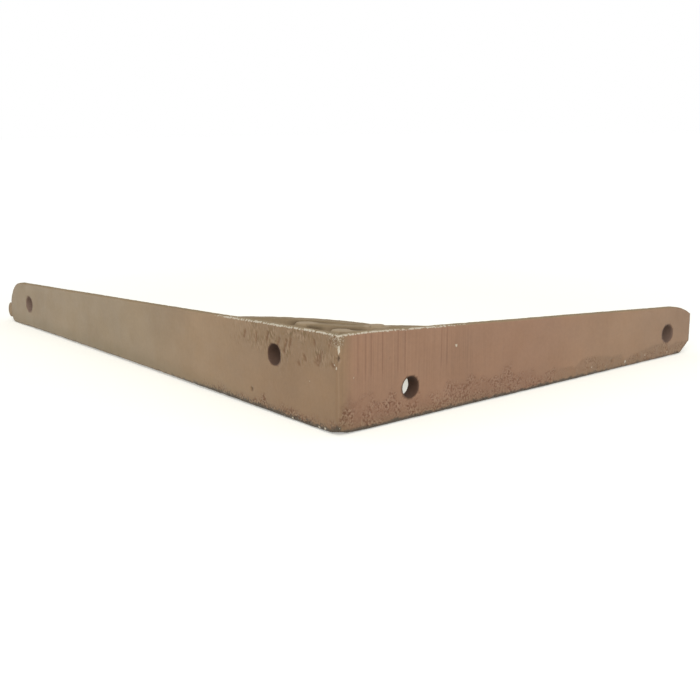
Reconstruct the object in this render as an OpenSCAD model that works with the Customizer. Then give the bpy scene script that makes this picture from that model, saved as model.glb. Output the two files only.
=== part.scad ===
// Cast iron shelf bracket, lying on its side as it was moulded and as it rests.
// The long arm runs along +Y and the short arm along +X, and their outer faces meet in the corner.
// +Z runs across the width. The mould parted along the middle of the width, so everything is drawn
// from that plane, and tapers away from it to leave the sand.

/* [Arms] */
// Length of the long arm, over the outside of the corner
long_arm = 207; // [170:1:250]
// Length of the short arm, over the outside of the corner
short_arm = 150; // [138:1:185]
// Width of both arms at the corner
corner_w = 25; // [21:0.5:30]
// Width that the long arm tapers to at its end
long_end_w = 15.5; // [13:0.5:19]
// Width that the short arm tapers to at its end
short_end_w = 15.5; // [13:0.5:19]
// Thickness of the arms at the parting plane
arm_t = 4.2; // [3.4:0.1:5.5]
// Thickness lost to draft at the edges of the corner
arm_draft = 0.6; // [0.3:0.1:0.9]
// Radius of the eased outer edges, round the ground faces
edge_r = 0.8; // [0.4:0.1:1]
// Radius of the rounder inner edges, as they left the mould
inner_edge_r = 2.4; // [1:0.1:2.6]
// Radius of the fillet inside the corner
corner_fillet = 6; // [4:0.5:9]

/* [Arm ends] */
// Radius of the upper corner of the long arm's end
long_end_top_r = 11; // [9:0.5:14]
// Length of that corner along the arm
long_end_top_run = 10.5; // [5:0.5:11]
// Radius of the lower corner of the long arm's end
long_end_low_r = 4; // [3:0.5:6]
// Radius of the upper corner of the short arm's end
short_end_top_r = 23; // [12:1:40]
// Length of that corner along the arm
short_end_top_run = 11.5; // [6:0.5:12]
// Length of the flat ground across the lower corner of the short arm's end
short_end_clip = 5; // [2:0.5:6]
// Height of that flat
short_end_clip_rise = 3.8; // [2:0.2:5]
// Width of the gate stub left on the long arm's end
gate_w = 5.4; // [4:0.2:6]
// How far the gate stub stands out
gate_reach = 4.6; // [3:0.2:6]
// Depth of the gate stub below the parting plane
gate_drop = 3.5; // [2:0.1:4]

/* [Screw holes] */
// Diameter of the four screw holes
hole_d = 5.6; // [4.5:0.1:6.5]
// Long arm's near hole, from the corner
long_near_hole = 27; // [22:0.5:40]
// Long arm's near hole, above the parting plane
long_near_rise = 3.9; // [2:0.1:5]
// Long arm's far hole, from the end of the arm
long_far_hole = 18; // [14:0.5:24]
// Long arm's far hole, above the parting plane
long_far_rise = 0.5; // [-2:0.1:2]
// Short arm's near hole, from the corner
short_near_hole = 24; // [20:0.5:40]
// Short arm's near hole, below the parting plane
short_near_drop = 3.5; // [2:0.1:5]
// Short arm's far hole, from the end of the arm
short_far_hole = 12.5; // [10:0.5:16]
// Short arm's far hole, below the parting plane
short_far_drop = 0.5; // [-2:0.1:2]

/* [Scrollwork] */
// Width of the scroll bars at the parting plane
bar_w = 6; // [4.5:0.1:7.2]
// Width of the flat on each side of the scroll bars
bar_flat = 4.4; // [3:0.1:4.4]
// Thickness of the scroll bars, across the bracket
bar_t = 8; // [6:0.5:10]
// Where the long scroll springs from the long arm, from the corner
long_spring = 140; // [125:1:150]
// Where the short scroll springs from the short arm, from the corner
short_spring = 125; // [112:1:130]
// Where the scrolls cross, from the outside of the long arm
knot_x = 53.5; // [49:0.5:58]
// Where the scrolls cross, from the outside of the short arm
knot_y = 48; // [44:0.5:52]
// Lean of the long scroll where they cross, from square to the short arm
long_lean = 3; // [0:1:10]
// Slope of the short scroll where they cross, from the short arm
short_slope = 37; // [33:1:42]
// Diameter of the collar over the crossing
collar_d = 8.4; // [7.6:0.2:10]
// Radius of the curl that ends the long scroll
long_curl_r = 6.8; // [6:0.1:8]
// Turn of the curl that ends the long scroll
long_curl_turn = 190; // [150:1:205]
// Radius of the sweep that ends the short scroll
short_sweep_r = 35; // [30:1:45]
// Turn of the sweep that ends the short scroll
short_sweep_turn = 39; // [30:1:44]
// Diameter of the round eyes that end the scrolls
eye_d = 8; // [7.4:0.1:9.6]

/* [Hidden] */
$fn = 72;

// Flats that ease an outer edge and an inner one
edge_flats = 3;
inner_flats = 5;
// How far those flats run past the faces that they join
flats_past = 0.02;
// Clearance by which every cutter runs past the iron
past = 1;
// Depth of the scrolls' ends inside the arms that they spring from
spring_depth = 3.4;
// Iron left between the scrolls' ends and the outer faces
skin = 1;
// Step from the faces of the arm to those of the gate stub
gate_skin = 0.5;
// Height of the collar over the bars, on each side
collar_rise = 0.4;
// Bevels round the collar and the eyes
collar_bevel = 1.8;
eye_bevel = 1.2;
// Gap between the two bars of each scroll where they meet, inside the collar
knot_gap = 0.2;

half_corner = corner_w / 2;
edge_t = arm_t - arm_draft;
inner_r = min(inner_edge_r, edge_t - edge_r);
// Run of the inner faces' draft for each millimetre of height
draft = arm_draft / half_corner;
// The arms are of full width to the end of the corner's fillet, and taper from there
level = arm_t + corner_fillet;
knot = [knot_x, knot_y];
spring_x = arm_t - spring_depth;

function taper(length, end_w) = atan((half_corner - end_w / 2) / (length - level));

// Half width of an arm at the distance s from the corner, along its taper
function half_w(s, length, end_w) = half_corner - (s - level) * tan(taper(length, end_w));

// Unit vector square to a heading, on its left
function left(heading) = [-sin(heading), cos(heading)];
function wrapped(angle) = angle - 360 * floor(angle / 360);

// ---- Arms, made along +Y with the outer face at x = 0 and the parting plane at z = 0 ----

// Round from the tapering edge towards the end of an arm, over the length run, as what it takes off
module end_round(length, end_w, r, run) {
    angle = taper(length, end_w);
    translate([length - run, half_w(length - run, length, end_w) - r / cos(angle)])
        difference() {
            polygon([[0, 0], 2 * r * [sin(angle), cos(angle)], [2 * r, 2 * r], [2 * r, 0]]);
            circle(r);
        }
}

// Outline of an arm, seen on its outer face with the corner at the origin
module outline(length, end_w) {
    polygon([
        [0, -half_corner],
        [level, -half_corner],
        [length, -end_w / 2],
        [length, end_w / 2],
        [level, half_corner],
        [0, half_corner],
    ]);
}

module long_outline() {
    difference() {
        outline(long_arm, long_end_w);
        end_round(long_arm, long_end_w, long_end_top_r, long_end_top_run);
        mirror([0, 1])
            end_round(long_arm, long_end_w, long_end_low_r, long_end_low_r);
    }
}

// The short arm's lower corner is ground off flat
module short_outline() {
    clip = [short_end_clip, short_end_clip_rise];
    difference() {
        outline(short_arm, short_end_w);
        end_round(short_arm, short_end_w, short_end_top_r, short_end_top_run);
        translate([short_arm, short_end_clip_rise - short_end_w / 2])
            polygon([0.5 * clip, -1.5 * clip, [clip[0], -1.5 * clip[1]]]);
    }
}

// Flat outside, and thinning both ways from the parting plane inside
module arm_section() {
    h = half_corner + past;
    polygon([[0, -h], [arm_t - draft * h, -h], [arm_t, 0], [arm_t - draft * h, h], [0, h]]);
}

// An arm of the outline given as its child
module arm_blank(length) {
    intersection() {
        rotate([90, 0, 90])
            linear_extrude(arm_t)
                children();
        translate([0, length + past, 0])
            rotate([90, 0, 0])
                linear_extrude(length + 2 * past)
                    arm_section();
    }
}

// What easing takes off a top edge that runs along +Y from the origin, with the iron at +X and -Z.
// The face below the edge leans out of the iron by lean for each millimetre down, and the flats
// round the edge run a little past both faces, so that they cut them cleanly
module easing(length, r, flats, lean) {
    translate([0, length, 0])
        rotate([90, 0, 0])
            linear_extrude(length)
                polygon(concat(
                    [[-past, past], [-past, flats_past - r]],
                    [for (i = [0 : flats])
                        let (a = 180 - 90 * i / flats, v = r * (sin(a) - 1))
                        [r * (1 + cos(a)) + lean * v - flats_past, v + flats_past]],
                    [[r - flats_past, past]]
                ));
}

// Easing of the upper edges of an arm, first level and then along its taper
module upper_edges(length, end_w) {
    angle = taper(length, end_w);
    run = length - level + past;
    translate([0, -past, half_corner])
        easing(level + 2 * past, edge_r, edge_flats, 0);
    translate([0, level, half_corner])
        rotate([-angle, 0, 0])
            translate([0, -past, 0])
                easing(run + past, edge_r, edge_flats, 0);
    // the inner edges stop at the mitre of the corner
    intersection() {
        translate([edge_t, 0, half_corner])
            mirror([1, 0, 0])
                easing(level + past, inner_r, inner_flats, draft);
        linear_extrude(corner_w)
            polygon([[0, 0], [2 * level, 2 * level], [0, 2 * level]]);
    }
    translate([edge_t, level, half_corner])
        rotate([-angle, 0, -atan(draft * tan(angle))])
            mirror([1, 0, 0])
                easing(run, inner_r, inner_flats, draft);
}

module eased_edges(length, end_w) {
    for (side = [0, 1])
        mirror([0, 0, side])
            upper_edges(length, end_w);
}

module screw_hole(s, rise) {
    translate([-past, s, rise])
        rotate([0, 90, 0])
            cylinder(d = hole_d, h = arm_t + 2 * past);
}

// Stub of the gate that the iron ran in by, broken off and left on the end of the long arm
module gate_stub() {
    translate([gate_skin, long_arm + gate_reach - gate_w / 2, -gate_drop])
        rotate([0, 90, 0])
            cylinder(d = gate_w, h = edge_t - 2 * gate_skin);
}

// The short arm's parts are made along +Y too, and turned over the mitre to lie along +X
module over_mitre() {
    mirror([1, -1, 0])
        children();
}

module arm_blanks() {
    arm_blank(long_arm)
        long_outline();
    over_mitre()
        arm_blank(short_arm)
            short_outline();
}

// Fillet inside the corner, whose radius opens with the draft of the faces that it joins
module fillet() {
    h = half_corner - inner_r - edge_r;
    difference() {
        translate([skin, skin, -h])
            cube([level - skin, level - skin, 2 * h]);
        for (side = [0, 1])
            mirror([0, 0, side])
                translate([level, level, 0])
                    cylinder(r1 = corner_fillet, r2 = corner_fillet + draft * corner_w, h = corner_w);
    }
}

// The upright outer edge of the corner
module corner_easing() {
    translate([0, 0, -half_corner - past])
        linear_extrude(corner_w + 2 * past)
            polygon(concat(
                [[-past, -past], [-past, edge_r]],
                [for (i = [0 : edge_flats])
                    let (a = 180 + 90 * i / edge_flats)
                    edge_r * [1 + cos(a), 1 + sin(a)]],
                [[edge_r, -past]]
            ));
}

module arms() {
    difference() {
        union() {
            arm_blanks();
            fillet();
        }
        eased_edges(long_arm, long_end_w);
        over_mitre()
            eased_edges(short_arm, short_end_w);
        corner_easing();
        screw_hole(long_near_hole, long_near_rise);
        screw_hole(long_arm - long_far_hole, long_far_rise);
        over_mitre() {
            screw_hole(short_near_hole, -short_near_drop);
            screw_hole(short_arm - short_far_hole, -short_far_drop);
        }
    }
    gate_stub();
}

// ---- Scrollwork, in the plane of the parting ----

// Section of a scroll bar, drafted both ways from the parting plane until its sides meet
module bar_section() {
    tip = bar_t / 2 * bar_w / (bar_w - bar_flat);
    polygon([[-bar_w / 2, 0], [0, -tip], [bar_w / 2, 0], [0, tip]]);
}

// A bar bent to a radius, from the origin along +Y, bending left
module bent_bar(r, turn) {
    translate([-r, 0])
        rotate_extrude(angle = turn)
            translate([r, 0])
                bar_section();
}

// The same from a point along a heading, bending left where side is 1 and right where it is -1
module bent_from(start, heading, r, turn, side) {
    translate(start)
        rotate([0, 0, heading - 90])
            mirror([side > 0 ? 0 : 1, 0, 0])
                bent_bar(r, turn);
}

// Where a bent bar ends
function bent_to(start, heading, r, turn, side) =
    start + side * r * (left(heading) - left(heading + side * turn));

// Radius of the S of two equal arcs between two points with given headings.
// The arcs touch where their centres are two radii apart, which is a quadratic in the radius
function s_radius(start, start_heading, end, end_heading, side) =
    let (
        d = end - start,
        m = side * (left(start_heading) + left(end_heading)) * d,
        k = 2 * (1 - cos(end_heading - start_heading))
    )
    k < 1e-6 ? d * d / (2 * m) : (sqrt(m * m + k * d * d) - m) / k;

// An S of two equal arcs, bending first to the side given, that stops just short of its far end.
// Both arcs are drawn from the point where they touch, so that they share that end
module s_bar(start, start_heading, end, end_heading, side) {
    r = s_radius(start, start_heading, end, end_heading, side);
    c1 = start + side * r * left(start_heading);
    c2 = end - side * r * left(end_heading);
    // heading where the arcs touch, square to the line through their centres
    middle = atan2(c2[1] - c1[1], c2[0] - c1[0]) + side * 90;
    first = wrapped(side * (middle - start_heading));
    second = wrapped(side * (middle - end_heading));
    translate((c1 + c2) / 2)
        rotate([0, 0, middle - 90])
            mirror([side > 0 ? 1 : 0, 0, 0]) {
                bent_bar(r, second - knot_gap / r * 180 / PI);
                rotate([0, 0, 180])
                    bent_bar(r, first);
            }
}

// A bevelled disc that rises over both faces of the bars
module button(centre, d, rise, bevel) {
    h = bar_t / 2 + rise;
    translate(centre)
        rotate_extrude()
            polygon([
                [0, -h],
                [d / 2 - bevel, -h],
                [d / 2, -h + bevel],
                [d / 2, h - bevel],
                [d / 2 - bevel, h],
                [0, h],
            ]);
}

// The round eye that ends a scroll
module eye(centre) {
    button(centre, eye_d, past, eye_bevel + past);
}

module long_scroll() {
    heading = long_lean - 90;
    s_bar([spring_x, long_spring], -90, knot, heading, 1);
    bent_from(knot, heading, long_curl_r, long_curl_turn, -1);
    eye(bent_to(knot, heading, long_curl_r, long_curl_turn, -1));
}

module short_scroll() {
    heading = 180 - short_slope;
    s_bar([short_spring, spring_x], 180, knot, heading, -1);
    bent_from(knot, heading, short_sweep_r, short_sweep_turn, -1);
    eye(bent_to(knot, heading, short_sweep_r, short_sweep_turn, -1));
}

// A scroll levelled to its thickness, and stopped short of the outer faces of the arms
module levelled() {
    intersection() {
        children();
        translate([skin, skin, -bar_t / 2])
            cube([short_arm, long_arm, bar_t]);
    }
}

module scrollwork() {
    levelled()
        long_scroll();
    levelled()
        short_scroll();
    button(knot, collar_d, collar_rise, collar_bevel);
}

module bracket() {
    color("saddlebrown")
        translate([-short_arm / 2, -(long_arm + gate_reach) / 2, half_corner]) {
            arms();
            scrollwork();
        }
}

bracket();
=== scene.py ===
# %% [markdown]
# # A cast iron shelf bracket
#
# The bracket is one casting: a long and a short arm, square to each other, braced by two crossed
# scrolls. It was poured in sand, its outer faces were ground flat so that they sit against a wall
# and a shelf, and it was given one thin coat of brown satin paint. It lies on its side, on three
# points: the corner and the ends of both arms.
#
# The exact shape comes from the CAD frame. This lesson gives it what sand, grinding and use leave
# on iron, then its paint, and then it sets up the floor, the light and the camera.

# %% The frame
import itertools

import bmesh
import bpy
import numpy as np
from mathutils import Matrix, Vector


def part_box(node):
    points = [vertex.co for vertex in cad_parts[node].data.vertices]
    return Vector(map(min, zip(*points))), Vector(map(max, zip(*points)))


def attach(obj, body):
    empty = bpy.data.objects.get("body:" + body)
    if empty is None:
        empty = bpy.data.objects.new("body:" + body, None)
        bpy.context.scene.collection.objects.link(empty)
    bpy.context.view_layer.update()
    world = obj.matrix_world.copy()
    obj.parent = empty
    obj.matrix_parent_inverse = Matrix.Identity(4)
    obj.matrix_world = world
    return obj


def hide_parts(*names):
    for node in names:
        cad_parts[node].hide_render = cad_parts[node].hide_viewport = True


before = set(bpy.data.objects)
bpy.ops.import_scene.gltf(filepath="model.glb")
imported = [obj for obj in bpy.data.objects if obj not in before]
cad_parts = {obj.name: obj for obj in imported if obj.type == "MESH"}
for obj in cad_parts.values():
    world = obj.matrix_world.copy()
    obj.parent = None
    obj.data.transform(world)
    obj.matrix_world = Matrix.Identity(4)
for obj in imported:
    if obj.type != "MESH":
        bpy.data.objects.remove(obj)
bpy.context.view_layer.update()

MM = 0.001
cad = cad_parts["bracket"]
low, high = (np.array(c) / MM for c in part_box("bracket"))
print("bracket, mm:", np.round(high - low, 2))

# %% [markdown]
# ## The measures of the arms
#
# All the surface work is laid out as a fitter would measure it, in millimetres from the corner:
# u runs along an arm, v runs across it from the middle of its width, and both arms get narrower
# towards their ends. The corner of the frame's box is the corner of the casting.

# %% Measures, mm
CORNER = np.array([low[0], low[1], (low[2] + high[2]) / 2])
HALF_WIDTH = (high[2] - low[2]) / 2
ARM_THICKNESS = 4.2
LEVEL_RUN = 10.2
END_HALF_WIDTH = 7.75
GATE_REACH = 4.6
LONG_ARM = high[1] - low[1] - GATE_REACH
SHORT_ARM = high[0] - low[0]


def half_width(u, length):
    """Half an arm's width at u: all of it up to the end of the corner's fillet, then a straight
    line down to the half width of the end."""
    along = np.clip((u - LEVEL_RUN) / (length - LEVEL_RUN), 0, 1)
    return HALF_WIDTH + (END_HALF_WIDTH - HALF_WIDTH) * along


print("half widths at 100 mm:", half_width(100, LONG_ARM), half_width(100, SHORT_ARM))

# %% [markdown]
# ## A skin to work on
#
# The CAD mesh has long thin triangles, which can't take a dent. So a merged copy of it is cut
# into even cells by a remesh of the sharp kind, which puts a point on each edge that it meets, so
# that the drilled holes and the ground faces keep their crisp rims. Where two edges come close,
# it can leave a pinched point: that point is taken out and its hole is closed by new triangles.

# %% A merged copy, and what mends a mesh
SAME_POINT = 0.002
ALMOST_MEET = 0.03
MENDING_ROUNDS = 4


def merged_copy(source, name):
    """The same triangles, with the corners that lie on each other merged into one."""
    soup = bmesh.new()
    soup.from_mesh(source.data)
    bmesh.ops.remove_doubles(soup, verts=soup.verts, dist=SAME_POINT * MM)
    mesh = bpy.data.meshes.new(name)
    soup.to_mesh(mesh)
    soup.free()
    return mesh


def mend(soup):
    """Merges points that almost meet. Then replaces each point at which the surface isn't one
    sheet by triangles over the hole that it leaves, in rounds, until no such point is found."""
    bmesh.ops.remove_doubles(soup, verts=soup.verts, dist=ALMOST_MEET * MM)
    for _ in range(MENDING_ROUNDS):
        pinched = [p for p in soup.verts if not p.is_manifold]
        if not pinched:
            break
        bmesh.ops.delete(soup, geom=pinched, context="VERTS")
        rims = [e for e in soup.edges if len(e.link_faces) < 2]
        caps = bmesh.ops.holes_fill(soup, edges=rims, sides=0)
        bmesh.ops.triangulate(soup, faces=caps["faces"])
        loose = [p for p in soup.verts if not p.link_faces]
        bmesh.ops.delete(soup, geom=loose, context="VERTS")


print("points merge within, mm:", SAME_POINT, "in the copy,", ALMOST_MEET, "after the remesh")

# %% [markdown]
# The remesh works on a grid of cubes. A depth of 9 makes 2^9 of them along its longest side, and
# the bracket takes up 0.8 of that side, so a cell is about half a millimetre. That is small
# enough for the pits of the sand skin, and still a mesh that is quick to work on.

# %% An even mesh over the exact shape
CELL_DEPTH = 9
CELL_SCALE = 0.8


def even_mesh(source, name):
    """source as one closed mesh of even cells, with its sharp edges kept."""
    work = bpy.data.objects.new(name, merged_copy(source, name))
    bpy.context.scene.collection.objects.link(work)
    cells = work.modifiers.new("cells", "REMESH")
    cells.mode, cells.octree_depth, cells.scale = "SHARP", CELL_DEPTH, CELL_SCALE
    cells.use_remove_disconnected = False
    graph = bpy.context.evaluated_depsgraph_get()
    mesh = bpy.data.meshes.new_from_object(work.evaluated_get(graph))
    work.modifiers.clear()
    work.data = mesh
    soup = bmesh.new()
    soup.from_mesh(mesh)
    mend(soup)
    print("open edges:", sum(1 for e in soup.edges if len(e.link_faces) != 2),
          "volume, mm3:", round(soup.calc_volume() / MM**3, 1))
    soup.to_mesh(mesh)
    soup.free()
    return work


casting = even_mesh(cad, "casting")
print("casting:", len(casting.data.vertices), "points,", len(casting.data.polygons), "cells")

# %% [markdown]
# ## The surface as numbers
#
# A casting's skin could be sculpted by hand, but that is slow and can't be repeated. Here each
# mark is a formula of a point's place, worked out for all points at once, and it moves the point
# along its normal. So the points and their normals are read into arrays first.


# %% Its points and normals as arrays
def read_points(mesh):
    """The mesh's points, in mm from the corner, and its normals, as two arrays of rows."""
    points = np.empty(len(mesh.vertices) * 3)
    mesh.vertices.foreach_get("co", points)
    normals = np.empty(len(mesh.vertices) * 3)
    mesh.vertex_normals.foreach_get("vector", normals)
    return points.reshape(-1, 3) / MM - CORNER, normals.reshape(-1, 3)


P, N = read_points(casting.data)
print("points from", np.round(P.min(0), 2), "to", np.round(P.max(0), 2))

# %% [markdown]
# ## Chance, with a fixed seed
#
# Sand is random, but the piece must come out the same each time. So each point of a lattice gets
# a number mixed from its own coordinates, and the values between lattice points are blended.

# %% Random values in space
AXIS_FACTORS = np.array([374761393, 668265263, 974634777])
SEED_FACTOR = 1274126177
SCRAMBLES = ((13, 1103515245), (15, 12345679))
LOW_32_BITS = 0xFFFFFFFF
LOW_16_BITS = 0xFFFF


def lattice(cell, seed):
    """A number from 0 to 1 for each whole-numbered cell: its coordinates and the seed times large
    numbers are added, and the sum is scrambled twice by a shift, an exclusive-or and a product.
    The lowest 16 bits of the result, divided by their greatest value, are the number."""
    mix = (cell @ AXIS_FACTORS + seed * SEED_FACTOR) & LOW_32_BITS
    for shift, factor in SCRAMBLES:
        mix = ((mix ^ (mix >> shift)) * factor) & LOW_32_BITS
    return ((mix ^ (mix >> 16)) & LOW_16_BITS) / LOW_16_BITS


def grain(points, size, seed):
    """Smooth values from -1 to 1. Space is cut into cells of the given size, and a point blends
    the values of its cell's eight corners, with weights 3t^2 - 2t^3 along each axis."""
    scaled = points / size
    cell = np.floor(scaled).astype(np.int64)
    t = scaled - cell
    t = t * t * (3 - 2 * t)
    total = np.zeros(len(points))
    for corner in itertools.product((0, 1), repeat=3):
        weight = np.prod(np.where(corner, t, 1 - t), axis=1)
        total += weight * lattice(cell + np.array(corner), seed)
    return 2 * total - 1


def rough(points, size, seed, octaves=3):
    """Grain upon grain: each octave is half the size and half the height of the one before."""
    return sum(grain(points, size / 2**i, seed + i) / 2**i for i in range(octaves))


print("sand, mean and spread:", rough(P[:2000], 1.2, 1).mean(), rough(P[:2000], 1.2, 1).std())

# %% [markdown]
# Grain alone looks like soft clay. Iron that was poured in sand has round pits where loose grains
# washed off the mould, and thin creases where the metal froze while it still moved. Both come
# from the same lattice, and soft steps fade one surface into the next.


# %% Pits, soft steps and creases
def pits(points, size, seed, share):
    """Round pits, one at most in each cell: 1 at the middle of a pit, falling as (1 - r^2)^2 to
    0 at its rim. share is the part of the cells that have a pit."""
    cell = np.floor(points / size).astype(np.int64)
    deepest = np.zeros(len(points))
    for offset in itertools.product((-1, 0, 1), repeat=3):
        near = cell + np.array(offset)
        jitter = np.stack([lattice(near, seed + i) for i in (1, 2, 3)], axis=1)
        centre = (near + 0.25 + 0.5 * jitter) * size
        radius = size * (0.2 + 0.35 * lattice(near, seed + 4))
        r2 = ((points - centre) ** 2).sum(axis=1) / radius**2
        here = lattice(near, seed) < share
        deepest = np.maximum(deepest, np.where(here, np.clip(1 - r2, 0, 1) ** 2, 0))
    return deepest


def step(low_edge, high_edge, value):
    """0 below low_edge, 1 above high_edge, and 3t^2 - 2t^3 between them."""
    t = np.clip((value - low_edge) / (high_edge - low_edge), 0, 1)
    return t * t * (3 - 2 * t)


def band(value, middle, reach):
    """1 at the middle, falling smoothly to 0 at the reach on both sides."""
    return step(reach, 0, np.abs(value - middle))


def creases(points, size, seed):
    """Thin winding creases, as in a skin that froze while it was still moving: 1 along the lines
    where the grain crosses zero, and 0 beside them. Two sizes of grain make them branch."""
    coarse = band(grain(points, size, seed), 0, 0.22)
    return np.maximum(coarse, 0.7 * band(grain(points, 0.55 * size, seed + 7), 0, 0.28))


print("share of points in a crease:", round(float((creases(P, 2.8, 55) > 0.5).mean()), 3))

# %% [markdown]
# ## Where each surface is
#
# Each point is told which surface it is on by its place and by the way its normal points. The
# shares fade into each other round the edges, so nothing jumps there.

# %% Shares of each surface
long_face = step(0.5, 0.9, -N[:, 0]) * step(0.6, 0.2, P[:, 0])
short_face = step(0.5, 0.9, -N[:, 1]) * step(0.6, 0.2, P[:, 1])
ground = np.maximum(long_face, short_face)
upper = step(0.4, 0.9, N[:, 2])
u_long, u_short, v = P[:, 1], P[:, 0], P[:, 2]
w_long = v / half_width(u_long, LONG_ARM)
w_short = v / half_width(u_short, SHORT_ARM)
print("points on the long and short faces:", int(long_face.sum()), int(short_face.sum()))

# %% [markdown]
# ## What the sand leaves
#
# The mould's sand prints its grain on all that the grinder didn't reach, and loose grains leave
# small pits. The long waves are the mould's own unevenness. The holes are drilled, so they have
# neither, and the first thing to find is how far each point is from a hole. Each hole is given
# by its place on its arm, u and v.

# %% The drilled holes
HOLE_RADIUS = 2.8
LONG_HOLES = [(27.0, 3.9), (LONG_ARM - 18.0, 0.5)]
SHORT_HOLES = [(24.0, -3.5), (SHORT_ARM - 12.5, -0.5)]
FAR_OFF = 99.0


def from_holes(u, places):
    """The distance of each point from the axis of the nearest of the holes in one arm."""
    return np.minimum.reduce([np.hypot(u - at_u, v - at_v) for at_u, at_v in places])


in_long_arm = P[:, 0] < ARM_THICKNESS + 0.3
in_short_arm = P[:, 1] < ARM_THICKNESS + 0.3
from_axis = np.minimum(np.where(in_long_arm, from_holes(u_long, LONG_HOLES), FAR_OFF),
                       np.where(in_short_arm, from_holes(u_short, SHORT_HOLES), FAR_OFF))
bored = step(HOLE_RADIUS + 0.12, HOLE_RADIUS + 0.02, from_axis) * (1 - step(0.6, 0.95, ground))
print("bored points:", int(bored.sum()))

# %% [markdown]
# From here on, height gathers what each mark adds to the surface, in millimetres. In each term
# the first number is the mark's height, then come the size of its grain and its seed, and for
# pits the share of cells that have one. The ground faces keep only a little of the sand.

# %% Sand skin and waves
SAND_HEIGHT, SAND_GRAIN = 0.045, 1.3
PIT_DEPTH, PIT_SIZE, PIT_SHARE = 0.10, 3.1, 0.22
WAVE_HEIGHT, WAVE_LENGTH = 0.06, 23.0
GROUND_OFF = 0.85
sunk = pits(P, PIT_SIZE, 21, PIT_SHARE)
sand = SAND_HEIGHT * rough(P, SAND_GRAIN, 11) - PIT_DEPTH * sunk
waves = WAVE_HEIGHT * grain(P, WAVE_LENGTH, 31)
height = waves + sand * (1 - GROUND_OFF * ground) * (1 - bored)
print("sand, mm:", round(sand.min(), 3), round(sand.max(), 3))

# %% [markdown]
# ## The short face: ground above, as cast below
#
# The grinding wheel took the short face down across its width, in fine scratches, but it didn't
# reach a low strip along the lower edge. There the face is still as it was cast, creased and
# pitted, with a ragged upper border. The border is a table: at each u along the arm it gives the
# height as a share of the half width. The second table says how strong the cast skin is there,
# because the wheel still brushed the strip farther out.

# %% The strip that the wheel missed
BORDER = [(0, -0.30), (5, -0.44), (12, -0.44), (24, -0.42), (29, -0.44), (35, -0.44),
          (40, -0.34), (46, -0.32), (60, -0.40), (66, -0.40), (78, -0.52), (84, -0.46),
          (91, -0.58), (94, -0.38), (103, -0.46), (113, -0.57), (118, -0.70), (122, -0.60),
          (126, -0.42), (134, -0.44), (150, -0.50)]
SKIN_LEFT = [(0, 1), (24, 0.95), (34, 0.68), (60, 0.7), (80, 0.72), (95, 0.5), (150, 0.5)]
STRIP_DEPTH = 0.05
ragged = 0.22 * rough(P, 3.6, 41) + 0.10 * grain(P, 14.0, 45)
far_part = step(72, 88, u_short)
border = np.interp(u_short, *zip(*BORDER)) + (1 - 0.6 * far_part) * ragged
blurred = 0.13 - 0.08 * far_part
missed = short_face * step(blurred - 0.03, -blurred - 0.03, w_short - border)
strip_share = missed * np.interp(u_short, *zip(*SKIN_LEFT))
clustered = step(-0.45, 0.2, grain(P, 6.5, 65))
creased = 0.10 * creases(P, 2.8, 55) + 0.24 * pits(P, 2.0, 61, 0.4)
wrinkled = 0.05 * rough(P, 2.6, 51) - clustered * creased
height += strip_share * (wrinkled - STRIP_DEPTH)
print("points in the missed strip:", int(missed.sum()))

# %% [markdown]
# The wheel's scratches run across the arm. They are grain in a space that is squeezed along v, so
# that each lump is drawn out into a line 40 times as long. A few are cut deeper, where a coarse
# grit caught, and those stand at fixed places along the arm. Past the middle they fade.

# %% Grinding scratches, across the arm
DRAWN_OUT = 40
SCRATCH_REACH, SCRATCH_DEPTH = 0.6, 0.035
DEEP_SCRATCHES = [6.3, 8.8, 10.5, 14.4, 19.6, 21.9, 35.1, 36.9]
squeezed = np.stack([u_short, np.zeros_like(v), v / DRAWN_OUT], axis=1)
scratches = 0.010 * grain(squeezed, 1.1, 71) + 0.008 * grain(squeezed, 3.7, 72)
for at in DEEP_SCRATCHES:
    scratches -= SCRATCH_DEPTH * band(u_short, at, SCRATCH_REACH) * step(-0.3, 0.2, w_short)
ground_share = short_face * (1 - missed) * step(62, 40, u_short)
height += ground_share * scratches
print("scratches, mm:", round(scratches.min(), 3), round(scratches.max(), 3))

# %% [markdown]
# ## The long face: a patch of the cast skin
#
# On the long face the wheel ran over nearly everything. Only near the corner, in the upper part,
# did the cast skin stay, finely creased like leather, and a rough line of it stays along the
# lower edge.

# %% The patch of the long face
drift = rough(P, 8.0, 81)
patch = long_face * step(60, 26, u_long + 6 * drift) * step(0.02, 0.85, w_long + 0.22 * drift)
leather = 0.05 * rough(P, 1.9, 91) - 0.10 * creases(P * [1.0, 1.15, 0.75], 2.4, 95)
height += patch * (leather - 0.07 * pits(P, 2.4, 97, 0.3) - 0.03)
low_border = w_long + 0.12 * rough(P, 4.0, 101)
low_line = long_face * step(-0.70, -0.90, low_border) * step(75, 35, u_long)
height += low_line * (0.12 * rough(P, 1.7, 111) - 0.14 * creases(P, 2.0, 115) - 0.05)
print("points in the patch:", int(patch.sum()), "and in the low line:", int(low_line.sum()))

# %% [markdown]
# ## Single marks
#
# A casting that has been handled has marks of its own: blow holes, dents and short gouges where
# a file or a stone slipped. Lumps stand along the lower edge of the short arm, where the sand
# gave way, and a pit has broken out of the upright corner edge. These few are placed one by one.
# Each round mark is u, v, its radius and its depth, and each gouge is u and v of its two ends.

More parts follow.
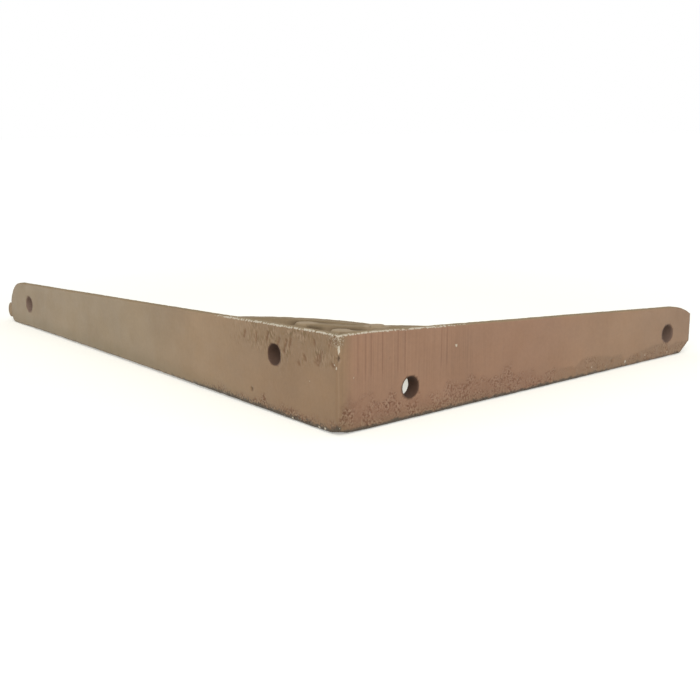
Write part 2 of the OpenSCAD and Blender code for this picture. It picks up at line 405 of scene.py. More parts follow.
# %% Blow holes, dents, gouges and lumps
LONG_MARKS = [(37.7, -7.2, 0.8, 0.5), (2.8, 5.2, 0.7, 0.15), (11.4, -1.5, 0.7, 0.12)]
SHORT_MARKS = [(59.4, 2.9, 0.7, 0.2), (16.8, 5.0, 0.55, 0.2), (5.4, 1.1, 0.6, 0.25),
               (108.7, -6.3, 1.2, 0.3), (101.3, -7.3, 1.1, 0.25), (40.5, 5.7, 0.6, 0.12)]
GOUGES = [(6.5, 7.4, 8.1, 3.8), (7.9, 6.5, 9.1, 4.3), (13.9, 5.6, 13.3, 4.6),
          (16.3, 3.5, 16.0, 3.0), (9.9, 10.0, 9.5, 8.9), (3.0, 10.8, 3.6, 9.4),
          (2.8, 4.9, 1.6, 4.5), (21.6, 8.3, 22.8, 5.1), (24.7, 8.6, 25.6, 6.6),
          (1.8, 11.8, 1.0, 10.4), (19.6, 9.2, 20.3, 7.1), (40.6, 8.7, 41.2, 7.0),
          (35.3, 8.6, 35.4, 6.7), (29.9, 9.4, 30.4, 7.6)]
LUMPS = [(90.8, -7.6, 1.5, 0.22), (98.0, -7.3, 1.8, 0.28), (105.3, -7.5, 1.4, 0.22),
         (109.2, -6.9, 1.2, 0.2), (114.8, -7.2, 1.7, 0.28), (123.0, -6.2, 1.6, 0.2),
         (131.1, -5.6, 1.6, 0.2), (138.0, -5.5, 1.6, 0.2)]
GOUGE_REACH, GOUGE_DEPTH = 0.55, 0.16
CORNER_PIT = (0.2, 0.2, 6.5)
CORNER_PIT_RADIUS, CORNER_PIT_DEPTH = 1.1, 0.6


def marks(u, on_face, places):
    """The depth that round marks take off one face: depth times (1 - r^2)^2 inside the radius."""
    depth = np.zeros(len(P))
    for at_u, at_v, radius, deep in places:
        r2 = ((u - at_u) ** 2 + (v - at_v) ** 2) / radius**2
        depth = np.maximum(depth, deep * np.clip(1 - r2, 0, 1) ** 2)
    return depth * on_face


def gouged(u, on_face, places, reach, deep):
    """The depth that short gouges take off one face: how near a point is to the line between a
    gouge's ends, as 1 - (distance / reach)^2, times the depth."""
    depth = np.zeros(len(P))
    for from_u, from_v, to_u, to_v in places:
        along = np.array([to_u - from_u, to_v - from_v])
        t = ((u - from_u) * along[0] + (v - from_v) * along[1]) / (along @ along)
        t = np.clip(t, 0, 1)
        off = np.hypot(u - from_u - t * along[0], v - from_v - t * along[1])
        depth = np.maximum(depth, deep * np.clip(1 - (off / reach) ** 2, 0, 1))
    return depth * on_face


holes = marks(u_long, long_face, LONG_MARKS) + marks(u_short, short_face, SHORT_MARKS)
cuts = gouged(u_long, long_face, GOUGES, GOUGE_REACH, GOUGE_DEPTH)
from_pit = ((P - CORNER_PIT) ** 2).sum(axis=1) / CORNER_PIT_RADIUS**2
holes = np.maximum(holes, CORNER_PIT_DEPTH * np.clip(1 - from_pit, 0, 1) ** 2)
height += marks(u_short, short_face, LUMPS) - holes - cuts
print("deepest mark, mm:", round(holes.max(), 2))

# %% [markdown]
# Where the paint came off in a speck, it shows bare iron. A film of paint is far too thin to give
# such a speck a depth, so it is only a share of each point, 1 in its middle. Each is u, v and its
# radius.

# %% Specks of bare iron
LONG_SPECKS = [(5.2, -11.8, 0.6), (7.7, -12.0, 0.6), (1.6, 4.9, 0.5), (0.8, 4.1, 0.5),
               (11.6, -0.8, 0.4), (15.6, -12.0, 0.4), (18.9, -11.8, 0.5), (22.4, -11.7, 0.4)]
SHORT_SPECKS = [(40.5, 5.7, 0.6), (98.4, -7.1, 0.5), (105.3, -7.3, 0.4), (115.2, -7.2, 0.6),
                (125.8, -6.3, 0.5), (137.9, -6.6, 0.5), (4.9, 1.2, 0.4), (0.5, 1.0, 0.5),
                (0.6, -10.9, 0.5), (28.0, 1.6, 0.35)]
specks = np.zeros(len(P))
for u, on_face, places in ((u_long, long_face, LONG_SPECKS), (u_short, short_face, SHORT_SPECKS)):
    for at_u, at_v, radius in places:
        in_speck = step(1.3 * radius, 0.5 * radius, np.hypot(u - at_u, v - at_v))
        specks = np.maximum(specks, in_speck * (on_face > 0))
print("points in specks:", int((specks > 0.5).sum()))

# %% [markdown]
# ## Worn edges
#
# Edges wear first. The upper outer edge of both arms has lost its paint near the corner, the
# upright corner edge is chipped, and the corner's lowest point is blunted, because the bracket
# stands on it. How near a point is to an edge is its distance from the edge's line, which follows
# the arm's taper.

# %% Distances to the edges
TOP_REACH, UPRIGHT_REACH, LOW_REACH = 1.6, 1.8, 2.2


def near_edge(across, along_width, reach):
    """1 on an edge line, falling evenly to 0 at the reach: the line lies where both distances
    are 0."""
    return np.clip(1 - np.hypot(across, along_width) / reach, 0, 1)


top_long = near_edge(P[:, 0], v - half_width(u_long, LONG_ARM), TOP_REACH)
top_short = near_edge(P[:, 1], v - half_width(u_short, SHORT_ARM), TOP_REACH)
upright = near_edge(P[:, 0], P[:, 1], UPRIGHT_REACH)
low_long = near_edge(P[:, 0], v + half_width(u_long, LONG_ARM), LOW_REACH)
low_short = near_edge(P[:, 1], v + half_width(u_short, SHORT_ARM), LOW_REACH)
nicks = rough(P, 2.2, 121)
chips = pits(P, 3.4, 131, 0.5)
edges = np.maximum.reduce([top_long, top_short, upright, low_long, low_short])
height -= edges * (0.03 + 0.04 * nicks + 0.08 * chips)
height -= 0.30 * upright * step(0.1, 0.7, nicks + 0.3) * step(-4, 6, v)
print("points on edges:", int((edges > 0).sum()))

# %% [markdown]
# The corner has two ends. At the top it has crumbled: knocks broke its skin into crumbs, farther
# along the long arm than along the short one, so the distance from the corner is stretched
# differently along each axis. At the bottom it is simply rounded off by standing on it.

# %% The crumbled top and the blunted bottom of the corner
CRUMBLE_REACH, CRUMBLE_STRETCH = 6.5, [1.7, 0.9, 1.1]
BLUNT_REACH, BLUNT_DEPTH = 3.4, 0.75
from_top = np.linalg.norm((P - [0, 0, HALF_WIDTH]) * CRUMBLE_STRETCH, axis=1)
crumbled = np.clip(1 - from_top / CRUMBLE_REACH, 0, 1)
from_foot = np.linalg.norm(P - [0, 0, -HALF_WIDTH], axis=1)
blunt = np.clip(1 - from_foot / BLUNT_REACH, 0, 1)
height -= BLUNT_DEPTH * blunt
crumb_depth = 0.06 + 0.07 * rough(P, 1.2, 141) + 0.12 * pits(P, 1.6, 145, 0.5)
height -= step(0, 0.5, crumbled) * crumb_depth
print("crumbled points:", int((crumbled > 0).sum()), "blunted points:", int((blunt > 0).sum()))

# %% [markdown]
# ## Slightly out of true
#
# Cast arms cool unevenly and bend a little. The long arm's lower edge bows up along the middle
# and drops at the end. The bow is sin^2 over the first 0.92 of the arm, which starts and ends
# level, and only the lower part of the arm follows it.

# %% The bend of the long arm
BOW, DROP = 0.25, 0.35
BOW_END = 0.92
share_of_arm = np.clip(u_long / LONG_ARM, 0, 1)
on_long_arm = step(6.0, 3.0, P[:, 0])
lower_share = step(0.2, -0.9, w_long)
bowed = np.sin(np.pi * np.clip(share_of_arm / BOW_END, 0, 1)) ** 2
bend = BOW * bowed - DROP * step(0.9, 0.97, share_of_arm)
lift = bend * on_long_arm * lower_share * step(12, 40, u_long)
print("bend, mm:", round(lift.min(), 2), round(lift.max(), 2))

# %% [markdown]
# All marks are gathered now, so every point moves once: along its normal by its height, and up by
# the bend. Shading is smooth, because at half a millimetre the mesh itself rounds every edge.

# %% The finished surface
shaped = P + N * height[:, None]
shaped[:, 2] += lift
casting.data.vertices.foreach_set("co", ((shaped + CORNER) * MM).ravel())
casting.data.update()
casting.data.polygons.foreach_set("use_smooth", np.ones(len(casting.data.polygons), bool))
print("finished, mm:", np.round(shaped.min(0), 2), np.round(shaped.max(0), 2))

# %% [markdown]
# ## Maps for the paint
#
# The paint follows the surface, so the material needs to know where it is. Each map is a number
# on every point, from 0 to 1: how near the point is to a worn edge, how much of the cast skin is
# left there, how far out it is on the long arm, and so on. The material sharpens them with noise
# that is finer than the mesh.
#
# Hands and walls rub the paint off the upper outer edges, most of all near the corner, and off
# the upright edge in one short stretch. A dark line runs along the lower edges and round the
# blunted foot of the corner: dirt, and in part painted shade where the bracket meets the floor.
# Crumbs of dirt lie along the long arm's edge.


# %% Wear and dirt along the edges
def keep(name, values):
    """Stores one number per point on the casting, for the material to read."""
    held = np.clip(values, 0, 1)
    layer = casting.data.attributes.new(name, "FLOAT", "POINT")
    layer.data.foreach_set("value", held.astype(np.float32))
    print(name, "mean", round(float(held.mean()), 4))


long_wear = top_long * (0.35 + 0.65 * step(68, 50, u_long))
short_wear = top_short * (0.35 + 0.65 * step(60, 34, u_short))
upright_wear = upright * (0.93 + 0.22 * nicks) * step(6.4, 7.6, v) * step(11.6, 9.6, v)
keep("wear", np.maximum.reduce([long_wear, short_wear, upright_wear, specks]))
# The dark line along the lower edges and round the foot: dirt, and in part painted shade where the
# bracket meets the floor.
low_grime_and_shade = np.maximum(low_long * (0.6 + 0.5 * step(90, 50, u_long)),
                       low_short * (1.0 - 0.3 * step(80, 125, u_short)))
keep("grime_and_shade", np.maximum(low_grime_and_shade, 1.3 * blunt))
keep("crumbs", step(75, 45, u_long) * low_long)
keep("crumbled", crumbled)
keep("turned", short_face * step(6.0, 0.5, u_short))
keep("upright", upright * step(7.5, 5.5, v))

# %% [markdown]
# Along the lower edges of the short face the paint has also turned olive, in a band a few
# millimetres high that fades upwards. It is strongest on the cast skin far out on the short arm,
# which holds the dirt. The long face is only darker towards its lower edge, in the same olive.

# %% Olive dirt above the lower edges
above_edge = v + half_width(u_short, SHORT_ARM)
low_near = short_face * step(4.2, 1.0, above_edge) * step(75, 40, u_short)
low_far = far_part * missed * (0.65 + 0.5 * step(2.8, 0.8, above_edge) * step(132, 118, u_short))
# The long face is darker towards its lower edge.
low_along = long_face * step(6.0, 1.2, v + half_width(u_long, LONG_ARM)) * step(20, 60, u_long)
keep("low_olive", np.maximum.reduce([low_near, low_far, low_along]))

# %% [markdown]
# The next maps say where the sand, the wheel and the drill have left their own surface: sunk pits,
# cast skin on both faces, deep and fine scratches, blow holes, gouges and the drilled bores. The
# bores' walls get a painted shade, which is mixed with a paler brown in the far holes and hardly
# at all in the near ones.

# %% Skin, scratches and holes
keep("sunk", (1 - ground) * (1 - bored) * sunk)
keep("skin", np.maximum(strip_share, low_line))
keep("patch", patch)
scored = np.maximum.reduce([band(u_short, at, SCRATCH_REACH) for at in DEEP_SCRATCHES])
keep("scored", scored * ground_share * step(-0.4, 0.3, w_short))
keep("scratched", ground_share * step(-0.5, 0.1, w_short))
keep("hollow", step(0.1, 0.5, holes))
keep("cut", step(0.0, 0.14, cuts))
keep("bored", bored)
# The painted shade in the bores is mixed with a paler brown towards the far holes.
far_paler = np.where(in_long_arm, 0.75 * step(60, 150, u_long), 0.4 * step(60, 130, u_short))
keep("paler_bore", bored * np.maximum(0.08 * in_long_arm, far_paler))

# %% [markdown]
# The round eyes of the scrolls and the collar over their crossing stand highest, so their tops
# get a painted highlight, as light falls on them from above. Below them the nooks get a painted
# shade, which fades downwards.

# %% Eyes, collar and nooks
EYES = [(40.6, 67.5), (40.0, 48.5)]
COLLAR = (53.5, 48.0)
BUTTON_RIM = (4.6, 3.4)
NOOK_REACH = (11.0, 6.0)
from_eyes = np.minimum.reduce([np.hypot(P[:, 0] - x, P[:, 1] - y) for x, y in EYES])
from_buttons = np.minimum(from_eyes, np.hypot(P[:, 0] - COLLAR[0], P[:, 1] - COLLAR[1]))
# Painted highlight on the tops of the eyes and the collar.
keep("highlit_tops", upper * step(*BUTTON_RIM, from_buttons) * step(3.2, 3.9, v))
# Painted shade in the nooks below the eyes, fading downwards.
keep("nook", (1 - ground) * (1 - upper) * step(*NOOK_REACH, from_eyes) * step(4.0, 3.0, v)
     * (0.3 + 0.7 * step(-7, 1, v)))

# %% [markdown]
# Last come the slow changes of tone. The brown is redder on the short face and more olive far out,
# the coat is thin along the middle of the long face and far out on the short one, and all that was
# never ground has a tone of its own. The tops take an olive tone that is in part painted light
# falling from above.

# %% Tone along the arms
keep("long", long_face)
keep("far", long_face * step(10, 130, u_long) + 0.35 * short_face * step(60, 150, u_short))
keep("thin", np.maximum(long_face * band(u_long, 60, 35),
                        0.6 * short_face * band(u_short, 108, 40)))
keep("top", upper)
keep("cast", (1 - ground) * (1 - bored))

# %% [markdown]
# ## Satin paint on cast iron
#
# The finish is an alkyd paint, brushed thin over iron. It is a smooth dielectric film, so it has
# an ordinary IOR of 1.5 and no metal in it, and it takes its roughness from the sand below. Where
# it is worn off, the iron is oxidised and dull, so it looks like a pale grey, not like a mirror.
# Dark oxide and dirt sit in the blow holes and in the creases. The bores are painted dark as
# shade, and the dark line along the lower edges is dirt with some painted shade.
#
# The colours are sRGB hex codes, as in a paint chart, and Blender works in linear light, so one
# function turns each into the other. One helper adds every node.


# %% Colours and a helper for nodes
def colour(code):
    """An sRGB hex code as linear light, channel by channel: c / 12.92 where c is at most 0.04045,
    and ((c + 0.055) / 1.055)^2.4 above that."""
    srgb = np.array([int(code[i : i + 2], 16) for i in (0, 2, 4)]) / 255
    linear = np.where(srgb <= 0.04045, srgb / 12.92, ((srgb + 0.055) / 1.055) ** 2.4)
    return (*linear.tolist(), 1.0)


def add(tree, kind, settings=None, **links):
    """Adds a node. settings are its own properties, and links are values or sockets for its
    inputs, by name, with _ for a space, or by number after the letter i."""
    node = tree.nodes.new(kind)
    for key, value in (settings or {}).items():
        setattr(node, key, value)
    for key, value in links.items():
        numbered = key[0] == "i" and key[1:].isdigit()
        socket = node.inputs[int(key[1:]) if numbered else key.replace("_", " ")]
        if isinstance(value, bpy.types.NodeSocket):
            tree.links.new(value, socket)
        else:
            socket.default_value = value
    return node


RED_BROWN = colour("947056")
BROWN = colour("8C6F51")
OLIVE_BROWN = colour("937F63")
THIN_PAINT = colour("A88864")
LIT_TOP_OLIVE = colour("8C7859")
WORN_PALE = colour("C9BFAB")
POCK_DARK = colour("5E3422")
OLIVE_STAIN = colour("665A3C")
FLECK_HIGHLIGHT_BROWN = colour("BCA084")
TOP_HIGHLIGHT_TAN = colour("B8A387")
NOOK_SHADE_BROWN = colour("4E3D26")
HOLLOW_BROWN = colour("3E2A1B")
DIRT_AND_SHADE_DARK = colour("3C362A")
EDGE_BROWN = colour("75593F")
BORE_SHADE_BROWN = colour("4E3627")
PALER_BORE_BROWN = colour("8C7668")
print("red brown, linear:", np.round(RED_BROWN[:3], 3))

# %% [markdown]
# ### Patterns
#
# The mesh can't hold anything finer than half a millimetre, and the paint has pocks, flecks and
# wheel lines of a few tenths. They are noise in the object's own coordinates, so they stay on the
# piece when it moves, and their sizes are in millimetres. A Mapping node draws them out: along
# the width for the wheel's lines, and on a slant for the leathery patch.

# %% Helpers for the paint's nodes
USUAL_NOISE = (0.3, 0.7)
paint = bpy.data.materials.new("satin_paint_on_cast_iron")
paint.use_nodes = True
tree = paint.node_tree
tree.nodes.clear()
place = add(tree, "ShaderNodeTexCoord").outputs["Object"]


def speckle(size_mm, detail=2.0, at=place):
    """Noise in Object coordinates with lumps of about that many millimetres."""
    return add(tree, "ShaderNodeTexNoise", Vector=at, Scale=1 / (size_mm * MM),
               Detail=detail).outputs["Fac"]


def mapped(value, from_low, from_high, to_low=0.0, to_high=1.0):
    """value taken from one range to another, and held at its ends."""
    return add(tree, "ShaderNodeMapRange", Value=value, From_Min=from_low, From_Max=from_high,
               To_Min=to_low, To_Max=to_high).outputs["Result"]


def blend(share, first, second):
    """A mix of two colours: the first where share is 0, the second where it is 1."""
    return add(tree, "ShaderNodeMix", {"data_type": "RGBA"}, i0=share, i6=first,
               i7=second).outputs[2]


def varied(size_mm, detail, least, most):
    """Noise with lumps of that size, its usual range spread from least to most."""
    return mapped(speckle(size_mm, detail), *USUAL_NOISE, least, most)


def maths(operation, first, second):
    """The sum, difference, product or greater one of two sockets or numbers."""
    return add(tree, "ShaderNodeMath", {"operation": operation}, i0=first, i1=second).outputs[0]


def point_map(name):
    """The numbers that keep() stored under that name."""
    return add(tree, "ShaderNodeAttribute", {"attribute_name": name}).outputs["Fac"]


def tinged(below, name, share, tint):
    """below, with that share of the tint where the map of that name is 1."""
    return blend(maths("MULTIPLY", point_map(name), share), below, tint)


print("noise is spread from its usual range:", USUAL_NOISE)

# %% [markdown]
# Pocks and dashes are dark spots, where the skin sank and dirt filled it, and each has its pale
# counterpart where the skin stands up, lightened as a painted highlight. All of them gather in
# clusters, as sand does when it breaks away, and each kind stays on its own part of the cast skin.

# %% Wheel lines, pocks and flecks
FLECK, POCK, CLUSTER = 0.55, 1.1, 4.5
WHEEL_LINE, LINE_SQUEEZE = 0.32, 0.02
SLANT, DASH_STRETCH = np.radians(-14), 2.4
SPOT_BORDER = 0.05


def spots(size_mm, at, covered):
    """1 in the small spots where a noise is at its highest, and 0 between them. covered is the
    level of noise at which a spot begins: the lower, the more spots."""
    return mapped(speckle(size_mm, 0.0, at), covered, covered + SPOT_BORDER)


def gathered(name, pattern):
    """The pattern in clusters, and only where the map of that name is high."""
    return maths("MULTIPLY", maths("MULTIPLY", point_map(name), in_clusters), pattern)


wheel_space = add(tree, "ShaderNodeMapping", Vector=place,
                  Scale=(1.0, 1.0, LINE_SQUEEZE)).outputs[0]
wheel_lines = speckle(WHEEL_LINE, 2.0, wheel_space)
slanted_space = add(tree, "ShaderNodeMapping", {"vector_type": "TEXTURE"}, Vector=place,
                    Rotation=(SLANT, 0.0, 0.0), Scale=(1.0, 1.0, DASH_STRETCH)).outputs[0]
in_clusters = mapped(speckle(CLUSTER, 1.0), 0.40, 0.56, 0.2, 1.0)
pocks = gathered("skin", maths("MAXIMUM", spots(FLECK, place, 0.60), spots(POCK, place, 0.64)))
dashes = gathered("patch", spots(FLECK, slanted_space, 0.58))
pale_dashes = gathered("patch", mapped(speckle(FLECK, 0.0, slanted_space), 0.41, 0.36))
rims = gathered("skin", mapped(speckle(FLECK, 0.0), 0.42, 0.37))
dents = maths("MAXIMUM", pocks, dashes)
raised = maths("MAXIMUM", rims, pale_dashes)
print("pattern nodes:", len(tree.nodes))

# %% [markdown]
# ### Colour
#
# The colour is built up as the real surface was: first the brown of the coat and its slow changes
# of tone, then a cloudy mottling with the wheel's lines in it. Each layer is mixed over the one
# below by a map, a share and a colour.

# %% The coat of paint
face_brown = blend(maths("MAXIMUM", point_map("long"), point_map("turned")), RED_BROWN, BROWN)
coat = blend(maths("MAXIMUM", point_map("far"), point_map("cast")), face_brown, OLIVE_BROWN)
thinned = tinged(coat, "thin", 0.3, THIN_PAINT)
# Upward faces take an olive tone, in part painted light from above.
tone = blend(mapped(point_map("top"), 0.3, 0.8), thinned, LIT_TOP_OLIVE)
cloudy = varied(14.0, 4.0, 0.93, 1.07)
lined = maths("MULTIPLY", maths("SUBTRACT", wheel_lines, 0.5),
              mapped(point_map("scratched"), 0, 1, 0.06, 0.35))
fine = varied(1.1, 3.0, -0.035, 0.035)
level_of_tone = maths("ADD", maths("ADD", cloudy, fine), lined)
mottled = add(tree, "ShaderNodeVectorMath", {"operation": "SCALE"}, Vector=tone,
              Scale=level_of_tone).outputs[0]
print("nodes with the coat:", len(tree.nodes))

# %% [markdown]
# Over the coat come red-brown stain in the cast skin, olive dirt on the leathery patch and at the
# crumbled corner, an olive tint along the lower edges, and dark pocks and scores. Pale flecks
# between them and the lighter tops of the eyes and the collar are painted highlights, and the dark
# nooks below the eyes are painted shade.

# %% Stains, pocks and rubbed tops
stained = tinged(mottled, "skin", 0.24, POCK_DARK)
leathery = maths("MULTIPLY", maths("ADD", point_map("patch"), maths("MULTIPLY", dashes, 1.2)), 0.2)
weathered = maths("MAXIMUM", leathery, mapped(point_map("crumbled"), 0.0, 0.7, 0.0, 0.4))
by_edge = maths("MAXIMUM", maths("MULTIPLY", point_map("low_olive"), 0.26),
                maths("MULTIPLY", point_map("sunk"), 0.4))
tinted = blend(maths("MAXIMUM", weathered, by_edge), stained, OLIVE_STAIN)
edged = tinged(tinted, "upright", 0.3, EDGE_BROWN)
scores = maths("MULTIPLY", maths("MAXIMUM", mapped(point_map("scored"), 0.35, 1.0),
                                 point_map("cut")), 0.4)
pocked = blend(maths("MAXIMUM", maths("MULTIPLY", pocks, 0.56), scores), edged, POCK_DARK)
# Painted highlight: the raised flecks and pale dashes are lightened.
flecks_highlit = blend(maths("MULTIPLY", raised, 0.3), pocked, FLECK_HIGHLIGHT_BROWN)
# Painted highlight: the tops of the eyes and the collar are lightened.
highlit_tops = tinged(flecks_highlit, "highlit_tops", 0.5, TOP_HIGHLIGHT_TAN)
# Painted shade: the nooks below the eyes are darkened.
nook_shaded = tinged(highlit_tops, "nook", 0.8, NOOK_SHADE_BROWN)
print("nodes with the stains:", len(tree.nodes))

# %% [markdown]
# The strongest marks lie on top: the painted shade in the bores, the dark of the blow holes, the
# dark line along the lower edges and round the foot, which is dirt and in part painted shade of
# the floor contact, crumbs of dirt along the long arm's lower edge, and last of all the pale, dull
# iron where the paint is gone. Noise is added to a map before it is cut off, so that the worn
# border is ragged like real flaking.

# %% Holes, dirt with painted shade, and bare iron
CRUMB, CHIP = 0.6, 0.38
# The bores' walls are painted dark as shade, paler in the far holes.
bore_colour = blend(point_map("paler_bore"), BORE_SHADE_BROWN, PALER_BORE_BROWN)
drilled = blend(point_map("bored"), nook_shaded, bore_colour)
hollowed = tinged(drilled, "hollow", 0.8, HOLLOW_BROWN)
# Dark line along the lower edges and round the foot: dirt, and in part painted shade of the floor
# contact.
grime_and_shade = mapped(maths("ADD", point_map("grime_and_shade"), varied(2.2, 3.0, -0.18, 0.18)),
               0.42, 0.72, 0.0, 0.85)
crumbs = maths("MULTIPLY", mapped(point_map("crumbs"), 0.0, 0.35, 0.0, 0.7),
               spots(CRUMB, place, 0.54))
dirty_and_shaded = blend(maths("MAXIMUM", grime_and_shade, crumbs), hollowed, DIRT_AND_SHADE_DARK)
worn_off = mapped(maths("ADD", point_map("wear"), varied(0.7, 2.0, -0.13, 0.13)),
                  0.69, 0.77, 0.0, 0.9)
crumbled_off = maths("MULTIPLY", mapped(point_map("crumbled"), 0.3, 0.65, 0.0, 0.5),
                     spots(CHIP, place, 0.56))
worn = blend(maths("MAXIMUM", worn_off, crumbled_off), dirty_and_shaded, WORN_PALE)
print("nodes with the bare iron:", len(tree.nodes))

# %% [markdown]
# ### Relief and gloss
#
# The brushed film fills the finest grain, so the bump is slight: pocks sink and flecks stand up by
# less than a tenth of a millimetre. Ground faces under the paint are smoother, so they shine a
# little, and cast skin, bores, gouges and blow holes are duller.

# %% Its relief and its gloss
GRIT_DEPTH, GRIT_STRENGTH = 0.08, 0.8
FILM_IOR = 1.5
relief = maths("ADD", maths("MULTIPLY", speckle(0.9, 2.0), 0.4),
               maths("SUBTRACT", maths("MULTIPLY", raised, 0.6), maths("MULTIPLY", dents, 1.5)))
grit = add(tree, "ShaderNodeBump", Strength=GRIT_STRENGTH, Distance=GRIT_DEPTH * MM,
           Height=relief)
unground = maths("MAXIMUM", point_map("cast"), point_map("bored"))
broken = maths("MAXIMUM", dents, maths("MAXIMUM", point_map("cut"), point_map("hollow")))
dull = maths("MAXIMUM", unground, broken)
gloss = maths("ADD", varied(6.0, 2.0, 0.42, 0.55), maths("MULTIPLY", dull, 0.35))
film = add(tree, "ShaderNodeBsdfPrincipled", Base_Color=worn, IOR=FILM_IOR, Roughness=gloss,
           Normal=grit.outputs["Normal"])
add(tree, "ShaderNodeOutputMaterial", Surface=film.outputs["BSDF"])
casting.data.materials.clear()
casting.data.materials.append(paint)
print("paint nodes:", len(tree.nodes))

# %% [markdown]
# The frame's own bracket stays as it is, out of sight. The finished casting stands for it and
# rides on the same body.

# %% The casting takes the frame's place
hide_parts("bracket")
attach(casting, "root")
print(casting.name, "stands for", cad.name)

# %% [markdown]
# ## What it rests on
#
# The arms taper, so the bracket leans on its corner and on the ends of both arms. The plane
# through those three points is the face of the convex hull that lies under its middle, and the
# floor is put there.

# %% The plane under the three points
UNDERSIDE = 0.008
HULL_GRID = 0.002
EDGE_ON = 1e-12


def resting_plane(points, middle):
    """(a, b, c) of the plane z = a x + b y + c on the hull's lowest face under the middle point.
    The middle is inside a face if it lies on the same side of all three of its edges."""
    hull = bmesh.new()
    for p in points:
        hull.verts.new(p)
    made = bmesh.ops.convex_hull(hull, input=hull.verts)
    best = None
    for face in (g for g in made["geom"] if isinstance(g, bmesh.types.BMFace)):
        corners = np.array([w.co for w in face.verts])
        normal = np.cross(corners[1] - corners[0], corners[2] - corners[0])
        if abs(normal[2]) < EDGE_ON:
            continue
        slope = -normal[:2] / normal[2]
        offset = corners[0][2] - slope @ corners[0][:2]
        sides = [np.cross(np.append(corners[(i + 1) % 3][:2] - corners[i][:2], 0),
                          np.append(middle[:2] - corners[i][:2], 0))[2] for i in range(3)]
        inside = all(s >= 0 for s in sides) or all(s <= 0 for s in sides)
        lower = best is None or slope @ middle[:2] + offset < best[2] + best[:2] @ middle[:2]
        if inside and lower:
            best = np.array([*slope, offset])
    hull.free()
    return best


final = (shaped + CORNER) * MM
lowest = final[final[:, 2] < low[2] * MM + UNDERSIDE]
squares = np.round(lowest[:, :2] / HULL_GRID).astype(int)
one_in_each = np.unique(squares, axis=0, return_index=True)[1]
slope_x, slope_y, floor_z = resting_plane(lowest[one_in_each], final.mean(axis=0))
gap = final[:, 2] - (slope_x * final[:, 0] + slope_y * final[:, 1] + floor_z)
floor_z += gap.min()
print("floor slopes:", round(slope_x, 4), round(slope_y, 4), "lowest gap, mm:", gap.min() / MM)

# %% [markdown]
# A single square on that plane is enough of a floor.

# %% The floor
FLOOR_REACH = 6.0
SQUARE = np.array([(-1, -1), (1, -1), (1, 1), (-1, 1)])
floor_corners = [(x, y, slope_x * x + slope_y * y + floor_z) for x, y in FLOOR_REACH * SQUARE]
floor_mesh = bpy.data.meshes.new("floor")
floor_mesh.from_pydata(floor_corners, [], [(0, 1, 2, 3)])
floor = bpy.data.objects.new("floor", floor_mesh)
bpy.context.scene.collection.objects.link(floor)
print("floor corners:", np.round(floor_corners, 3).tolist())

# %% [markdown]
# ## White all round
#
# The bracket lies on a white cloth in a white room. What the camera sees is made white, and what
# lights the bracket stays as it is: a Light Path node tells the two apart. The cloth keeps its
# shadow, because it is a real diffuse surface. On top of that it glows a little, for the camera
# only. The glow is nothing in the shaded field between the arms, which leaves a painted shadow
# there, comes up outside it, and comes up once more far out, where a real cloth would be lit by
# more of the room than this one. Close to the bracket the cloth is painted a trace of ivory for
# the camera, a painted tint for the light that the brown paint throws round it.

# %% The cloth's glow and its ivory
FIELD_MIDDLE = (-0.010, -0.055, 0.0)
FIELD_FADE, OPEN_GLOW = (0.02, 0.052), 0.325
FAR_FADE, FAR_GLOW = (0.18, 1.0), 0.32
IVORY_FADE = (0.12, 0.20)
CLOTH_WHITE = colour("F4F4F0")
BOUNCE_IVORY = colour("F4F3E8")
WHITE = colour("FFFFFF")


def seen_or_mirrored(nodes):
    """1 for what the camera sees straight on, in a gloss or through glass, else 0."""
    path = add(nodes, "ShaderNodeLightPath").outputs
    pair = add(nodes, "ShaderNodeMath", {"operation": "MAXIMUM"},
               i0=path["Is Camera Ray"], i1=path["Is Glossy Ray"]).outputs[0]
    return add(nodes, "ShaderNodeMath", {"operation": "MAXIMUM"},
               i0=pair, i1=path["Is Transmission Ray"]).outputs[0]


def fading(nodes, distance, fade, start, end):
    """start nearer than the first distance of fade, end beyond the second, even between them."""
    return add(nodes, "ShaderNodeMapRange", Value=distance, From_Min=fade[0], From_Max=fade[1],
               To_Min=start, To_Max=end).outputs["Result"]


white_floor = bpy.data.materials.new("white_sheet")
white_floor.use_nodes = True
sheet = white_floor.node_tree
sheet.nodes.clear()
spot = add(sheet, "ShaderNodeTexCoord").outputs["Object"]
away = add(sheet, "ShaderNodeVectorMath", {"operation": "LENGTH"}, i0=spot).outputs["Value"]
in_field = add(sheet, "ShaderNodeVectorMath", {"operation": "DISTANCE"}, i0=spot,
               i1=FIELD_MIDDLE).outputs["Value"]
# Painted shadow: the glow is left off the field between the arms.
glow = add(sheet, "ShaderNodeMath", {"operation": "ADD"},
           i0=fading(sheet, in_field, FIELD_FADE, 0.0, OPEN_GLOW),
           i1=fading(sheet, away, FAR_FADE, 0.0, FAR_GLOW)).outputs[0]
strength = add(sheet, "ShaderNodeMath", {"operation": "MULTIPLY"}, i0=seen_or_mirrored(sheet),
               i1=glow).outputs[0]
# Painted tint: ivory near the bracket, for the camera only, for the light the brown paint throws
# round it.
ivory = add(sheet, "ShaderNodeMath", {"operation": "MULTIPLY"}, i0=seen_or_mirrored(sheet),
            i1=fading(sheet, away, IVORY_FADE, 1.0, 0.0)).outputs[0]
print("cloth nodes:", len(sheet.nodes))

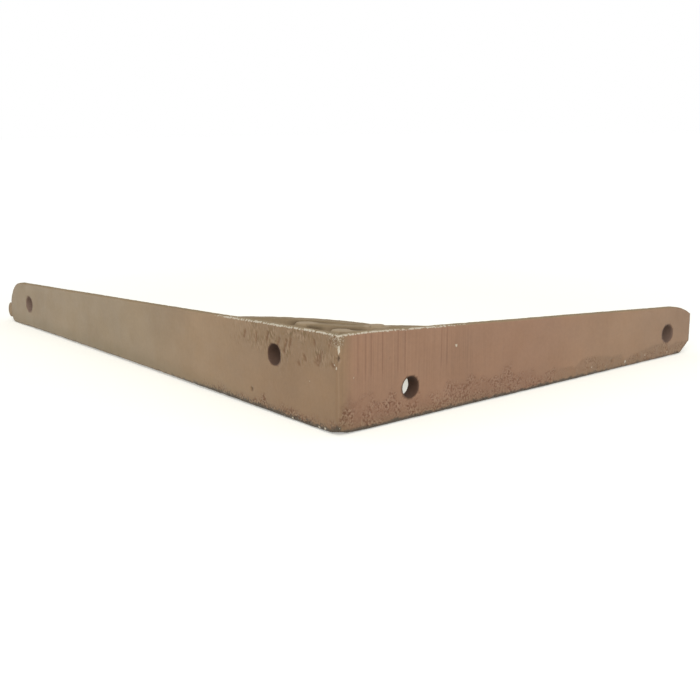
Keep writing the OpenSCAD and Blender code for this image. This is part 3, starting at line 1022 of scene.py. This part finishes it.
# %% The cloth
seen_colour = add(sheet, "ShaderNodeMix", {"data_type": "RGBA"}, i0=ivory, i6=CLOTH_WHITE,
                  i7=BOUNCE_IVORY).outputs[2]
cloth = add(sheet, "ShaderNodeBsdfDiffuse", Color=seen_colour)
lift_light = add(sheet, "ShaderNodeEmission", Color=WHITE, Strength=strength)
both = add(sheet, "ShaderNodeAddShader", i0=cloth.outputs[0], i1=lift_light.outputs[0])
add(sheet, "ShaderNodeOutputMaterial", Surface=both.outputs[0])
floor.data.materials.append(white_floor)
print("cloth nodes with its shader:", len(sheet.nodes))

# %% [markdown]
# The room is a plain white world. It is pure white to the camera and in reflections, and dimmer
# as a light, so that the window's side of the bracket is the brighter one.

# %% The room
ROOM_LEVEL = 0.55
world = bpy.data.worlds.new("white_room")
bpy.context.scene.world = world
world.use_nodes = True
room = world.node_tree
room.nodes.clear()
brightness = add(room, "ShaderNodeMapRange", Value=seen_or_mirrored(room), To_Min=ROOM_LEVEL,
                 To_Max=1.0).outputs["Result"]
air = add(room, "ShaderNodeBackground", Color=WHITE, Strength=brightness)
add(room, "ShaderNodeOutputWorld", Surface=air.outputs[0])
print("room level:", ROOM_LEVEL)

# %% [markdown]
# ## The window
#
# One broad lamp stands for a window, high up in front of the corner and a little more to the side
# of the short face. An area lamp a metre wide, over a metre away, gives the soft shadow edges of
# daylight. A lamp shines along its own -Z, so it is turned to point that axis at the bracket.

# %% A soft window light
WINDOW_PLACE = Vector((-0.75, -0.85, 0.8))
WINDOW_WIDTH = 1.0
WINDOW_WATTS = 10.3
window = bpy.data.lights.new("window", "AREA")
window.size, window.energy = WINDOW_WIDTH, WINDOW_WATTS
holder = bpy.data.objects.new("window", window)
facing = (-WINDOW_PLACE).to_track_quat("-Z", "Y").to_matrix().to_4x4()
holder.matrix_world = Matrix.Translation(WINDOW_PLACE) @ facing
bpy.context.scene.collection.objects.link(holder)
print("window, m from the bracket:", round(WINDOW_PLACE.length, 2))

# %% [markdown]
# ## The camera
#
# The camera stands low in front of the corner, a little above the arms, so that both outer faces
# show and the scrolls are seen only as a line above them. Its place is given in the frame, and
# its turns are the yaw from +Y towards +X, the pitch below the horizon and a slight roll.

# %% Camera
CAMERA_PLACE = (-0.23026, -0.30003, 0.06480)
YAW, PITCH, ROLL = 0.685886, 0.173070, 0.004303
FOCAL_IN_FRAMES = 1041.26 / 700
SENSOR_WIDTH = 36.0

forward = np.array([np.sin(YAW) * np.cos(PITCH), np.cos(YAW) * np.cos(PITCH), -np.sin(PITCH)])
level_right = np.array([np.cos(YAW), -np.sin(YAW), 0.0])
level_up = np.cross(level_right, forward)
right = np.cos(ROLL) * level_right + np.sin(ROLL) * level_up
up = np.cos(ROLL) * level_up - np.sin(ROLL) * level_right
turn = Matrix([[right[i], up[i], -forward[i]] for i in range(3)]).to_4x4()
camera = bpy.data.objects.new("camera", bpy.data.cameras.new("camera"))
camera.data.sensor_width = SENSOR_WIDTH
camera.data.lens = SENSOR_WIDTH * FOCAL_IN_FRAMES
camera.data.clip_start = 0.01
camera.matrix_world = Matrix.Translation(CAMERA_PLACE) @ turn
bpy.context.scene.collection.objects.link(camera)
bpy.context.scene.camera = camera
bpy.context.scene.view_settings.view_transform = "Standard"
print("lens, mm:", round(camera.data.lens, 2))
